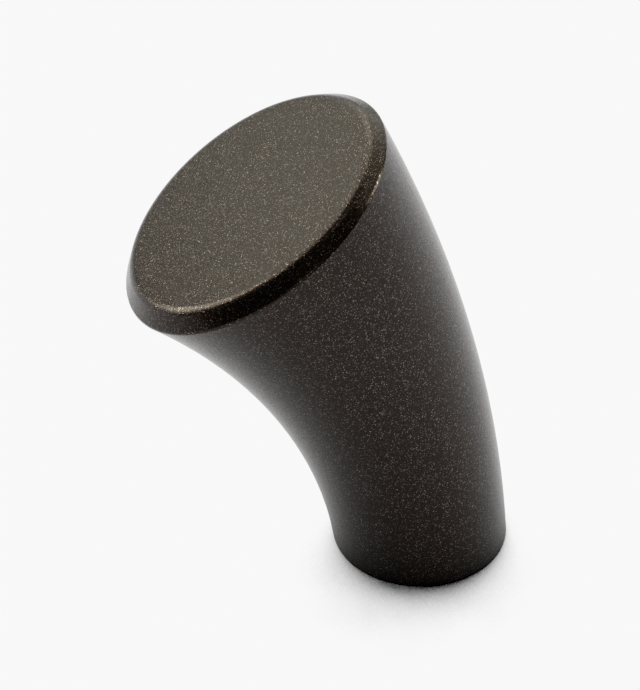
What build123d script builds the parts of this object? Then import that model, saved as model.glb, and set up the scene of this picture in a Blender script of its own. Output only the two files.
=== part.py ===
from build123d import *
from math import cos, radians, sin, tan
import os

# Cabinet knob, one casting, in millimetres.
# The foot stands on z = 0 and is centred on the origin, and the screw comes up along +Z.
# The knob leans towards -X and is the same on both sides of the XZ plane.

# Foot
foot_diameter = 12.0
foot_chamfer = 0.15

# Head ring, where the flare would meet the plane of the face if it had no bevel
head_diameter = 21.5
head_reach = 11.93
head_rise = 28.72
face_tilt = 32.9

# Outlines in the mirror plane, as leans from upright where they leave the foot
front_lean = 7.95
back_lean = 3.38
section_count = 7

# Bevel, turned about an axis square to the face and a little up the slope from the head ring's centre
bevel_inset = 1.3
bevel_angle = 45.0
bevel_axis_shift = 0.43
crest_round = 0.85
rim_round = 0.2

# Tapped hole for an M4 screw, with the wall at the root of the thread
thread_diameter = 4.0
thread_root_clearance = 0.05
thread_depth = 11.0
mouth_chamfer = 0.4
drill_point_angle = 118.0

# Sizes that follow from those above
foot_radius = foot_diameter / 2
head_radius = head_diameter / 2
face_radius = head_radius - bevel_inset
bore_radius = thread_diameter / 2 + thread_root_clearance
drill_point_height = bore_radius / tan(radians(drill_point_angle / 2))
sideways = Vector(0, 1, 0)
up_slope = Vector(cos(radians(face_tilt)), 0, sin(radians(face_tilt)))
outward = up_slope.cross(sideways)
head_centre = Vector(-head_reach, 0, head_rise)
face_centre = head_centre + up_slope * bevel_axis_shift
turning_plane = Plane(origin=face_centre, x_dir=up_slope, z_dir=-sideways)
turning_depth = head_rise + head_diameter

# Outlines: the hollow front and the bulged back, each one arc from the foot to the head ring
front_start = Vector(-sin(radians(front_lean)), 0, cos(radians(front_lean)))
back_start = Vector(-sin(radians(back_lean)), 0, cos(radians(back_lean)))
with BuildLine():
    front = TangentArc((-foot_radius, 0, 0), head_centre - up_slope * head_radius, tangent=front_start)
    back = TangentArc((foot_radius, 0, 0), head_centre + up_slope * head_radius, tangent=back_start)

with BuildPart() as knob_body:
    # Stem: round sections that span the two outlines at equal shares of their lengths
    for index in range(section_count):
        share = index / (section_count - 1)
        across = back @ share - front @ share
        centre = (back @ share + front @ share) / 2
        with BuildSketch(Plane(origin=centre, x_dir=across, z_dir=across.cross(sideways))):
            Circle(across.length / 2)
    loft()

    # Bevel: only what lies inside a cone with a rounded crest stays of the head
    with BuildSketch(turning_plane) as turned:
        with BuildLine():
            Polyline(
                (0, 0),
                (face_radius, 0),
                (face_radius + turning_depth * tan(radians(bevel_angle)), -turning_depth),
                (0, -turning_depth),
                close=True,
            )
        make_face()
        fillet(turned.vertices().sort_by_distance((face_radius, 0))[0], radius=crest_round)
    revolve(axis=Axis(face_centre, outward), mode=Mode.INTERSECT)

    # Broken edges: the lower edge of the bevel and the edge of the foot
    outline_rings = knob_body.edges().filter_by(GeomType.BSPLINE).filter_by(lambda edge: edge.is_closed)
    fillet(outline_rings.sort_by(Axis.Z)[-1], radius=rim_round)
    chamfer(knob_body.faces().sort_by(Axis.Z)[0].edges(), length=foot_chamfer)

    # Tapped hole: countersink, wall and drill point turned about the screw axis
    with BuildSketch(Plane.XZ):
        with BuildLine():
            Polyline(
                (0, 0),
                (bore_radius + mouth_chamfer, 0),
                (bore_radius, mouth_chamfer),
                (bore_radius, thread_depth),
                (0, thread_depth + drill_point_height),
                close=True,
            )
        make_face()
    revolve(axis=Axis.Z, mode=Mode.SUBTRACT)

os.makedirs("parts", exist_ok=True)
knob_body.part.label = "knob_body"
export_step(knob_body.part, "parts/knob_body.step")
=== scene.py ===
import math

import bmesh
import bpy
from bpy.props import FloatProperty, FloatVectorProperty, IntProperty, PointerProperty
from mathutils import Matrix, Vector


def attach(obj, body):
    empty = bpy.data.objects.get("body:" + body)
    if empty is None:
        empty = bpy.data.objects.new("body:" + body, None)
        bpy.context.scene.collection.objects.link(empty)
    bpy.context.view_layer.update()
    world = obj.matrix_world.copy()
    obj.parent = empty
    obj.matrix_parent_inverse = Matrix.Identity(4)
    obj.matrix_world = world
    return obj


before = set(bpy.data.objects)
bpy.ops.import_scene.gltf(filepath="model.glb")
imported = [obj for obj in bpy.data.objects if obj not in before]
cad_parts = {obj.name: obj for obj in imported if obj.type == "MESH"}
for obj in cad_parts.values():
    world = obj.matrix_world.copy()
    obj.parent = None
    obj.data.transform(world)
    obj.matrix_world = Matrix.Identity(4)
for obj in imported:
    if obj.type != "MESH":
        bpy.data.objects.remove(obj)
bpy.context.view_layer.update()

bl_info = {
    "name": "Leaning Cabinet Knob",
    "version": (1, 0, 0),
    "blender": (4, 5, 0),
    "location": "3D View > Sidebar > Knob",
    "description": "Coats a cast cabinet knob in bronze powder, threads its hole and sets a studio round it",
    "category": "Object",
}

# Part of the knob that is bare metal, as a radius and a height, in metres
BARE_RADIUS = 0.00235
BARE_HEIGHT = 0.0128

# Grains of powder: the darkest one's brightness, the spread above it, and a turn off the knob's own axes
GRAIN_LEAST = 0.3
GRAIN_SPREAD = 1.4
GRAIN_TURN = (0.5, 0.7, 0.3)

# Ridge of the thread: its run-out in turns, its least share there, and its widths as shares of the pitch
RUN_OUT = 0.8
RUN_OUT_LEAST = 0.02
WALL_BITE = 0.06
ROOT_LEAST = 0.1
ROOT_SPREAD = 0.33
CREST_SHARE = 0.125

# Share of open sky where the floor turns black and white, as the camera sees it and as the coat mirrors it
SEEN_BLACK, SEEN_WHITE = 0.41, 0.632
MIRRORED_BLACK, MIRRORED_WHITE = 0.36, 1.0
SKY_WAY = (-0.2, 0.75, 1.0)

# Point that the lamps face, and half the width of the floor, in metres
LAMP_AIM = (-0.006, 0.0, 0.02)
FLOOR_REACH = 1.5


class KnobCoatSettings(bpy.types.PropertyGroup):
    """Colours and grain of the powder coat."""

    bronze: FloatVectorProperty(
        name="Bronze", description="Colour of the dark bronze powder between the flakes",
        subtype="COLOR", size=3, min=0.0, max=1.0, default=(0.0112, 0.0053, 0.0023))
    flake: FloatVectorProperty(
        name="Flake", description="Colour of the pale metal flakes",
        subtype="COLOR", size=3, min=0.0, max=1.0, default=(0.33, 0.295, 0.264))
    flake_size: FloatProperty(
        name="Flake size", description="Width of one grain of powder",
        unit="LENGTH", subtype="DISTANCE", min=0.00001, max=0.001, precision=6, default=0.000047)
    flake_rarity: FloatProperty(
        name="Flake rarity", description="How few of the grains shine, as the power that fades the others",
        min=1.0, max=200.0, default=25.0)
    flake_tilt: FloatProperty(
        name="Flake tilt", description="How far the grains lean out of the surface",
        subtype="FACTOR", min=0.0, max=1.0, default=0.09)
    skin_tilt: FloatProperty(
        name="Skin tilt", description="How far the skin over each grain leans",
        subtype="FACTOR", min=0.0, max=1.0, default=0.06)
    bare_metal: FloatVectorProperty(
        name="Bare metal", description="Colour of the cast zinc in the tapped hole",
        subtype="COLOR", size=3, min=0.0, max=1.0, default=(0.46, 0.45, 0.43))


class KnobThreadSettings(bpy.types.PropertyGroup):
    """Sizes of the thread in the foot."""

    pitch: FloatProperty(
        name="Pitch", description="Rise of the thread in one turn",
        unit="LENGTH", subtype="DISTANCE", min=0.0002, max=0.002, precision=5, default=0.0007)
    root_radius: FloatProperty(
        name="Root radius", description="Radius of the hole's wall, where the ridge grows from",
        unit="LENGTH", subtype="DISTANCE", min=0.001, max=0.005, precision=5, default=0.00205)
    crest_radius: FloatProperty(
        name="Crest radius", description="Radius of the ridge's inner edge",
        unit="LENGTH", subtype="DISTANCE", min=0.001, max=0.005, precision=5, default=0.00163)
    first_height: FloatProperty(
        name="First height", description="Height above the foot where the ridge starts",
        unit="LENGTH", subtype="DISTANCE", min=0.0, max=0.01, precision=5, default=0.0006)
    last_height: FloatProperty(
        name="Last height", description="Height above the foot where the ridge ends",
        unit="LENGTH", subtype="DISTANCE", min=0.001, max=0.02, precision=5, default=0.0102)
    steps: IntProperty(
        name="Steps", description="Facets in one turn of the ridge", min=12, max=128, default=56)


class KnobStageSettings(bpy.types.PropertyGroup):
    """Camera, floor and lamps of the studio."""

    camera_distance: FloatProperty(
        name="Camera distance", description="From the camera to the point that it looks at",
        unit="LENGTH", subtype="DISTANCE", min=0.05, max=5.0, default=0.36)
    camera_elevation: FloatProperty(
        name="Camera elevation", description="Angle of the view below level",
        unit="ROTATION", subtype="ANGLE", min=0.0, max=1.57, default=math.radians(39.89))
    camera_target: FloatVectorProperty(
        name="Camera target", description="Point in the middle of the picture",
        unit="LENGTH", subtype="TRANSLATION", size=3, precision=6, default=(-0.006906, 0.001081, 0.015694))
    camera_lens: FloatProperty(
        name="Camera lens", description="Focal length in millimetres", min=20.0, max=600.0, default=277.63)
    floor: FloatVectorProperty(
        name="Floor", description="Colour of the floor",
        subtype="COLOR", size=3, min=0.0, max=1.0, default=(0.92, 0.92, 0.92))
    paper_white: FloatProperty(
        name="Paper white", description="How white the lit floor looks, where 1 is white",
        subtype="FACTOR", min=0.0, max=1.0, default=0.94)
    shadow_reach: FloatProperty(
        name="Shadow reach", description="How far the contact shadow spreads from the foot",
        unit="LENGTH", subtype="DISTANCE", min=0.001, max=0.1, precision=4, default=0.015)
    mirror_reach: FloatProperty(
        name="Mirror reach", description="How far the shadow spreads on the floor that the coat mirrors",
        unit="LENGTH", subtype="DISTANCE", min=0.001, max=0.5, precision=4, default=0.03)
    room_level: FloatProperty(
        name="Room level", description="Even light from the dark room, where 1 is white",
        min=0.0, max=5.0, default=0.045)
    back_level: FloatProperty(
        name="Back level", description="Brightness of the soft box behind the knob",
        min=0.0, max=50.0, default=2.1)
    side_level: FloatProperty(
        name="Side level", description="Brightness of the wide box beside it",
        min=0.0, max=50.0, default=1.42)
    crest_level: FloatProperty(
        name="Crest level", description="Brightness that the panel adds for the far crest",
        min=0.0, max=50.0, default=1.9)
    left_level: FloatProperty(
        name="Left level", description="Brightness of the strip on the left",
        min=0.0, max=50.0, default=7.0)
    right_level: FloatProperty(
        name="Right level", description="Brightness of the strip on the right",
        min=0.0, max=50.0, default=12.0)
    top_level: FloatProperty(
        name="Top level", description="Brightness of the small lamp overhead",
        min=0.0, max=50.0, default=1.2)
    front_level: FloatProperty(
        name="Front level", description="Brightness of the tall lamp above the camera",
        min=0.0, max=50.0, default=1.2)
    roof_level: FloatProperty(
        name="Roof level", description="Brightness of the dim panel on the ceiling",
        min=0.0, max=50.0, default=1.0)
    lamp_colour: FloatVectorProperty(
        name="Lamp colour", description="Colour of the lamps' warm white",
        subtype="COLOR", size=3, min=0.0, max=1.0, default=(1.0, 0.985, 0.85))


def new_material(name):
    """An empty node material with its output and one principled shader."""
    material = bpy.data.materials.new(name)
    material.use_nodes = True
    tree = material.node_tree
    tree.nodes.clear()
    output = tree.nodes.new("ShaderNodeOutputMaterial")
    shader = tree.nodes.new("ShaderNodeBsdfPrincipled")
    tree.links.new(shader.outputs["BSDF"], output.inputs["Surface"])
    return material, tree, shader


def add_node(tree, kind, values=(), links=(), **settings):
    """A node with settings, numbers on its sockets, and links from other nodes' sockets."""
    made = tree.nodes.new(kind)
    for key, value in settings.items():
        setattr(made, key, value)
    for key, value in dict(values).items():
        made.inputs[key].default_value = value
    for key, source in dict(links).items():
        tree.links.new(source, made.inputs[key])
    return made


def maths(tree, operation, *values):
    """A math node on sockets or numbers, and its result."""
    made = add_node(tree, "ShaderNodeMath", operation=operation)
    for index, value in enumerate(values):
        if isinstance(value, (int, float)):
            made.inputs[index].default_value = value
        else:
            tree.links.new(value, made.inputs[index])
    return made.outputs[0]


def blend_colours(tree, factor, first, second):
    """A colour between two, each a socket or three numbers."""
    made = add_node(tree, "ShaderNodeMix", data_type="RGBA")
    tree.links.new(factor, made.inputs[0])
    for index, value in ((6, first), (7, second)):
        if isinstance(value, bpy.types.NodeSocket):
            tree.links.new(value, made.inputs[index])
        else:
            made.inputs[index].default_value = (*value, 1.0)
    return made.outputs[2]


def leaning(tree, facing, chance, tilt):
    """The surface's direction, leant a random way by up to the tilt."""
    way = add_node(tree, "ShaderNodeVectorMath", {1: (0.5, 0.5, 0.5)}, {0: chance}, operation="SUBTRACT")
    way = add_node(tree, "ShaderNodeVectorMath", {1: [2.0 * tilt] * 3}, {0: way.outputs["Vector"], 2: facing},
                   operation="MULTIPLY_ADD")
    way = add_node(tree, "ShaderNodeVectorMath", links={0: way.outputs["Vector"]}, operation="NORMALIZE")
    return way.outputs["Vector"]


def powder_coat(settings):
    """Dark bronze powder with pale flakes under a satin skin, and bare zinc in the tapped hole."""
    material, tree, shader = new_material("bronze_powder")
    place = add_node(tree, "ShaderNodeTexCoord").outputs["Object"]
    facing = add_node(tree, "ShaderNodeNewGeometry").outputs["Normal"]

    # Grains of powder, each of its own brightness, of which a few are pale flakes
    turned = add_node(tree, "ShaderNodeMapping", {"Rotation": GRAIN_TURN}, {"Vector": place})
    cells = add_node(tree, "ShaderNodeTexVoronoi", {"Scale": 1.0 / settings.flake_size},
                     {"Vector": turned.outputs["Vector"]}, voronoi_dimensions="3D", feature="F1")
    grains = cells.outputs["Color"]
    chance = add_node(tree, "ShaderNodeSeparateColor", links={"Color": grains})
    dim = maths(tree, "MULTIPLY_ADD", chance.outputs["Green"], GRAIN_SPREAD, GRAIN_LEAST)
    dim = add_node(tree, "ShaderNodeVectorMath", {0: settings.bronze}, {"Scale": dim}, operation="SCALE")
    pale = maths(tree, "POWER", chance.outputs["Blue"], settings.flake_rarity)
    pale = add_node(tree, "ShaderNodeVectorMath", {0: settings.flake}, {"Scale": pale}, operation="SCALE")
    coated = add_node(tree, "ShaderNodeVectorMath", operation="ADD",
                      links={0: dim.outputs["Vector"], 1: pale.outputs["Vector"]})

    # Bare zinc inside the hole
    axes = add_node(tree, "ShaderNodeSeparateXYZ", links={"Vector": place})
    across = add_node(tree, "ShaderNodeCombineXYZ", links={"X": axes.outputs["X"], "Y": axes.outputs["Y"]})
    radius = add_node(tree, "ShaderNodeVectorMath", links={0: across.outputs["Vector"]}, operation="LENGTH")
    near_axis = maths(tree, "LESS_THAN", radius.outputs["Value"], BARE_RADIUS)
    low = maths(tree, "LESS_THAN", axes.outputs["Z"], BARE_HEIGHT)
    in_hole = maths(tree, "MULTIPLY", near_axis, low)
    colour = blend_colours(tree, in_hole, coated.outputs["Vector"], settings.bare_metal)
    tree.links.new(colour, shader.inputs["Base Color"])

    # Each grain leans its own way, and so does the skin over it
    spin = add_node(tree, "ShaderNodeTexWhiteNoise", links={"Vector": grains}, noise_dimensions="3D")
    tree.links.new(leaning(tree, facing, spin.outputs["Color"], settings.flake_tilt), shader.inputs["Normal"])
    tree.links.new(leaning(tree, facing, grains, settings.skin_tilt), shader.inputs["Coat Normal"])
    shader.inputs["Metallic"].default_value = 1.0
    shader.inputs["Roughness"].default_value = 0.28
    shader.inputs["Coat Weight"].default_value = 0.5
    shader.inputs["Coat IOR"].default_value = 1.3
    shader.inputs["Coat Roughness"].default_value = 0.1
    return material


def bare_zinc(settings):
    """Freshly cut zinc with fine turning marks."""
    material, tree, shader = new_material("tapped_zinc")
    place = add_node(tree, "ShaderNodeTexCoord").outputs["Object"]
    marks = add_node(tree, "ShaderNodeTexNoise", {"Scale": 9000.0, "Detail": 3.0}, {"Vector": place})
    dulled = [0.7 * part for part in settings.bare_metal]
    colour = blend_colours(tree, marks.outputs["Fac"], dulled, settings.bare_metal)
    tree.links.new(colour, shader.inputs["Base Color"])
    shader.inputs["Metallic"].default_value = 1.0
    shader.inputs["Roughness"].default_value = 0.36
    return material


def floor_paper(settings):
    """Plain paper that looks evenly white, with a painted shadow round the foot: occlusion dims its glow,
    rather than the lamps casting it.
    """
    material, tree, shader = new_material("floor_paper")
    shader.inputs["Base Color"].default_value = (*settings.floor, 1.0)
    shader.inputs["Roughness"].default_value = 0.9
    shader.inputs["Specular IOR Level"].default_value = 0.0

    # Painted shadow: the floor's glow is dimmed where the knob hides the sky from behind, as the occlusion
    # test measures it, and it is deepest there.
    # The camera sees it burnt out a short way from the foot, and the coat mirrors all of it.
    path = add_node(tree, "ShaderNodeLightPath")
    direct = path.outputs["Is Camera Ray"]
    back = Vector(SKY_WAY).normalized()
    towards = add_node(tree, "ShaderNodeCombineXYZ", {"X": back.x, "Y": back.y, "Z": back.z})
    reach = add_node(tree, "ShaderNodeMapRange",
                     {"To Min": settings.mirror_reach, "To Max": settings.shadow_reach}, {"Value": direct})
    hidden = add_node(tree, "ShaderNodeAmbientOcclusion", samples=16,
                      links={"Normal": towards.outputs["Vector"], "Distance": reach.outputs["Result"]})
    burnt = add_node(tree, "ShaderNodeMapRange", {"From Min": SEEN_BLACK, "From Max": SEEN_WHITE},
                     {"Value": hidden.outputs["AO"]})
    burnt = maths(tree, "POWER", burnt.outputs["Result"], 0.5)
    burnt = maths(tree, "MULTIPLY", burnt, settings.paper_white)
    whole = add_node(tree, "ShaderNodeMapRange", {"From Min": MIRRORED_BLACK, "From Max": MIRRORED_WHITE},
                     {"Value": hidden.outputs["AO"]})
    level = add_node(tree, "ShaderNodeMix", data_type="FLOAT",
                     links={0: direct, 2: whole.outputs["Result"], 3: burnt})
    # Painted shadow: the glow that camera and mirror rays see is the occlusion level, not light from the
    # lamps
    white = add_node(tree, "ShaderNodeEmission", links={"Strength": level.outputs[0]})
    seen = maths(tree, "MAXIMUM", direct, path.outputs["Is Glossy Ray"])
    seen = maths(tree, "MAXIMUM", seen, path.outputs["Is Transmission Ray"])
    both = add_node(tree, "ShaderNodeMixShader")
    tree.links.new(seen, both.inputs[0])
    tree.links.new(shader.outputs["BSDF"], both.inputs[1])
    tree.links.new(white.outputs["Emission"], both.inputs[2])
    tree.links.new(both.outputs["Shader"], tree.nodes["Material Output"].inputs["Surface"])
    material.cycles.emission_sampling = "NONE"
    return material


def place_lamp(name, way, distance, size, level, colour):
    """A soft rectangular lamp that faces the knob from one direction."""
    data = bpy.data.lights.new(name, "AREA")
    data.shape = "RECTANGLE"
    data.size, data.size_y = size
    data.energy = level * math.pi * size[0] * size[1]
    data.color = colour
    lamp = bpy.data.objects.new(name, data)
    bpy.context.scene.collection.objects.link(lamp)
    way = Vector(way).normalized()
    lamp.location = Vector(LAMP_AIM) + distance * way
    lamp.rotation_euler = way.to_track_quat("Z", "Y").to_euler()


class KNOB_OT_coat_body(bpy.types.Operator):
    """Give the cast body its powder coat"""

    bl_idname = "knob.coat_body"
    bl_label = "Coat body"

    def execute(self, context):
        material = powder_coat(context.scene.knob_coat)
        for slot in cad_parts["knob_body"].material_slots:
            slot.material = material
        return {"FINISHED"}


class KNOB_OT_thread_hole(bpy.types.Operator):
    """Grow the ridge of the thread on the wall of the hole"""

    bl_idname = "knob.thread_hole"
    bl_label = "Thread hole"

    def execute(self, context):
        settings = context.scene.knob_thread
        depth = settings.root_radius - settings.crest_radius
        turns = (settings.last_height - settings.first_height) / settings.pitch
        count = int(round(turns * settings.steps))
        ridge = bmesh.new()
        rings = []
        for index in range(count + 1):
            turn = index / settings.steps
            fade = max(RUN_OUT_LEAST, min(1.0, turn / RUN_OUT, (turns - turn) / RUN_OUT))
            height = settings.first_height + settings.pitch * turn
            crest = settings.root_radius - depth * fade
            wall = settings.root_radius + WALL_BITE * depth
            wide = settings.pitch * (ROOT_LEAST + ROOT_SPREAD * fade)
            narrow = settings.pitch * CREST_SHARE * fade
            across = math.cos(2.0 * math.pi * turn)
            along = math.sin(2.0 * math.pi * turn)
            ring = []
            for reach, rise in ((wall, -wide), (crest, -narrow), (crest, narrow), (wall, wide)):
                ring.append(ridge.verts.new((reach * across, reach * along, height + rise)))
            rings.append(ring)
        for lower, upper in zip(rings, rings[1:]):
            for side in range(4):
                after = (side + 1) % 4
                ridge.faces.new((lower[side], upper[side], upper[after], lower[after]))
        ridge.faces.new(rings[0])
        ridge.faces.new(list(reversed(rings[-1])))
        bmesh.ops.recalc_face_normals(ridge, faces=ridge.faces)
        mesh = bpy.data.meshes.new("screw_thread")
        ridge.to_mesh(mesh)
        ridge.free()
        mesh.materials.append(bare_zinc(context.scene.knob_coat))
        thread = bpy.data.objects.new("screw_thread", mesh)
        context.scene.collection.objects.link(thread)
        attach(thread, "root")
        return {"FINISHED"}


class KNOB_OT_set_stage(bpy.types.Operator):
    """Lay the floor, hang the lamps and place the camera"""

    bl_idname = "knob.set_stage"
    bl_label = "Set stage"

    def execute(self, context):
        scene = context.scene
        settings = scene.knob_stage
        scene.view_settings.view_transform = "Standard"

        mesh = bpy.data.meshes.new("floor")
        corners = [(x * FLOOR_REACH, y * FLOOR_REACH, 0.0) for x, y in ((-1, -1), (1, -1), (1, 1), (-1, 1))]
        mesh.from_pydata(corners, [], [(0, 1, 2, 3)])
        mesh.materials.append(floor_paper(settings))
        floor = bpy.data.objects.new("floor", mesh)
        scene.collection.objects.link(floor)

        world = bpy.data.worlds.new("studio")
        world.use_nodes = True
        room = world.node_tree.nodes["Background"]
        room.inputs["Color"].default_value = (1.0, 1.0, 1.0, 1.0)
        room.inputs["Strength"].default_value = settings.room_level
        scene.world = world

        # Each lamp's name, direction from the knob, distance, width and height, and level
        lamps = (
            ("back_box", (-0.634, 0.495, 0.595), 0.3, (0.161, 0.248), settings.back_level),
            ("side_box", (0.021, 0.801, 0.598), 0.3, (0.477, 0.32), settings.side_level),
            ("crest_panel", (-0.209, 0.781, 0.588), 0.31, (0.11, 0.17), settings.crest_level),
            ("left_strip", (-0.878, 0.374, 0.3), 0.5, (0.24, 0.24), settings.left_level),
            ("right_strip", (0.815, 0.265, 0.515), 0.5, (0.14, 0.42), settings.right_level),
            ("top_lamp", (0.25, 0.25, 0.93), 0.6, (0.2, 0.17), settings.top_level),
            ("front_lamp", (0.03, -0.8, 0.6), 0.6, (0.2, 0.42), settings.front_level),
            ("roof_lamp", (-0.14, 0.08, 0.99), 0.6, (0.16, 0.16), settings.roof_level),
        )
        for name, way, distance, size, level in lamps:
            place_lamp(name, way, distance, size, level, settings.lamp_colour)

        data = bpy.data.cameras.new("camera")
        data.lens = settings.camera_lens
        data.sensor_width = 36.0
        data.clip_start = 0.01
        camera = bpy.data.objects.new("camera", data)
        scene.collection.objects.link(camera)
        rise = settings.camera_elevation
        away = Vector((0.0, -math.cos(rise), math.sin(rise)))
        camera.location = Vector(settings.camera_target) + settings.camera_distance * away
        camera.rotation_euler = (math.pi / 2 - rise, 0.0, 0.0)
        scene.camera = camera
        return {"FINISHED"}


class KNOB_PT_sidebar(bpy.types.Panel):
    """Settings and steps of the knob"""

    bl_label = "Knob"
    bl_idname = "KNOB_PT_sidebar"
    bl_space_type = "VIEW_3D"
    bl_region_type = "UI"
    bl_category = "Knob"

    def draw(self, context):
        layout = self.layout
        steps = (
            ("knob_coat", "knob.coat_body"),
            ("knob_thread", "knob.thread_hole"),
            ("knob_stage", "knob.set_stage"),
        )
        for group, step in steps:
            box = layout.box()
            settings = getattr(context.scene, group)
            for key in settings.__annotations__:
                box.prop(settings, key)
            box.operator(step)


classes = (
    KnobCoatSettings,
    KnobThreadSettings,
    KnobStageSettings,
    KNOB_OT_coat_body,
    KNOB_OT_thread_hole,
    KNOB_OT_set_stage,
    KNOB_PT_sidebar,
)


def register():
    for item in classes:
        bpy.utils.register_class(item)
    bpy.types.Scene.knob_coat = PointerProperty(type=KnobCoatSettings)
    bpy.types.Scene.knob_thread = PointerProperty(type=KnobThreadSettings)
    bpy.types.Scene.knob_stage = PointerProperty(type=KnobStageSettings)


def unregister():
    del bpy.types.Scene.knob_stage
    del bpy.types.Scene.knob_thread
    del bpy.types.Scene.knob_coat
    for item in reversed(classes):
        bpy.utils.unregister_class(item)


def main():
    register()
    bpy.ops.knob.coat_body()
    bpy.ops.knob.thread_hole()
    bpy.ops.knob.set_stage()


if __name__ == "__main__":
    main()
